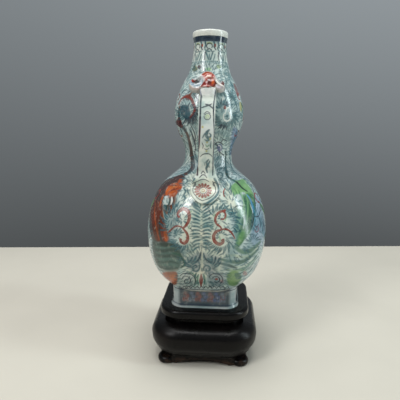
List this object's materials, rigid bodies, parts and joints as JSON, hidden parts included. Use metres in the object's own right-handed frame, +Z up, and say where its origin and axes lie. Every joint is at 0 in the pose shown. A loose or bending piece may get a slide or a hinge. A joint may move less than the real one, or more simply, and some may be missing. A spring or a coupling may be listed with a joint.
{
  "type": "double gourd vase",
  "caption": "Porcelain double gourd vase with cloud-scroll strap handles and square foot, painted in enamels, standing loose on a carved dark wooden stand",
  "frame": {"origin": "centre of the stand's footprint, on the ground", "axes": "+Z up; the handles lie at -Y (front) and +Y (rear); X runs across them"},
  "size_m": [0.099, 0.106, 0.2636],
  "materials": {
    "painted_porcelain": "white glaze painted in underglaze blue and coloured enamels",
    "handle_glaze": "glossy pale glaze with painted ribbons",
    "relief_enamel": "raised scrolls in iron red and white enamel",
    "plain_glaze": "plain white glaze",
    "stand_wood": "near-black stained and waxed hardwood",
    "seat_wood": "near-black stained hardwood, matt"
  },
  "bodies": {
    "stand": {"top_rail_front": "stand_wood", "top_rail_rear": "stand_wood", "top_rail_left": "stand_wood", "top_rail_right": "stand_wood", "seat_panel": "seat_wood", "waist_strip_front": "stand_wood", "waist_strip_rear": "stand_wood", "waist_strip_left": "stand_wood", "waist_strip_right": "stand_wood", "apron_front": "stand_wood", "apron_rear": "stand_wood", "apron_left": "stand_wood", "apron_right": "stand_wood", "leg_front_left": "stand_wood", "leg_front_right": "stand_wood", "leg_rear_left": "stand_wood", "leg_rear_right": "stand_wood"},
    "vase": {"neck": "painted_porcelain", "upper_bulb_left": "painted_porcelain", "upper_bulb_right": "painted_porcelain", "lower_bulb_left": "painted_porcelain", "lower_bulb_right": "painted_porcelain", "foot_ring": "painted_porcelain", "base_panel": "plain_glaze", "ruyi_head_front": "relief_enamel", "ruyi_head_rear": "relief_enamel", "strap_handle_front": "handle_glaze", "strap_handle_rear": "handle_glaze", "handle_lappet_front": "handle_glaze", "handle_lappet_rear": "handle_glaze"}
  },
  "joints": [
    {"name": "vase_lift", "type": "slide", "parent": "stand", "child": "vase", "axis": [0, 0, 1], "range_m": [0, 0.03]}
  ]
}
